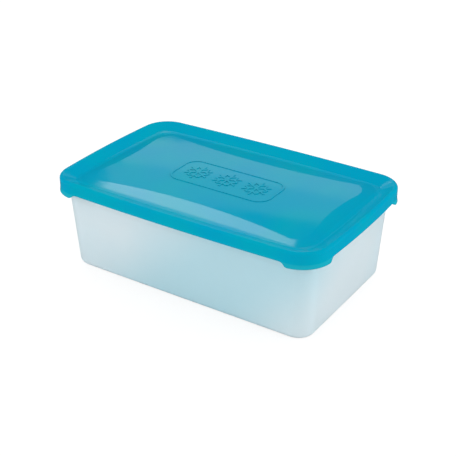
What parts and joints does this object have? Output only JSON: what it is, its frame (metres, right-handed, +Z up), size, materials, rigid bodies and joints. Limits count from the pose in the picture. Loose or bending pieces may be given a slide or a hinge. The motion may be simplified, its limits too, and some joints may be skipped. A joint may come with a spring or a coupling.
{
  "type": "food storage container",
  "caption": "Rectangular frosted plastic food storage tub closed by a low-domed press-on lid with four finger tabs.",
  "frame": {"origin": "centre of the tub's flat foot, on the surface it stands on", "axes": "+X along the long side, +Y to the back, +Z up"},
  "size_m": [0.26, 0.164, 0.0846],
  "materials": {
    "tub": "frosted translucent polypropylene",
    "lid": "semi-gloss teal polyethylene"
  },
  "bodies": {
    "root": {"tub": "tub", "lid": "lid"}
  },
  "joints": []
}
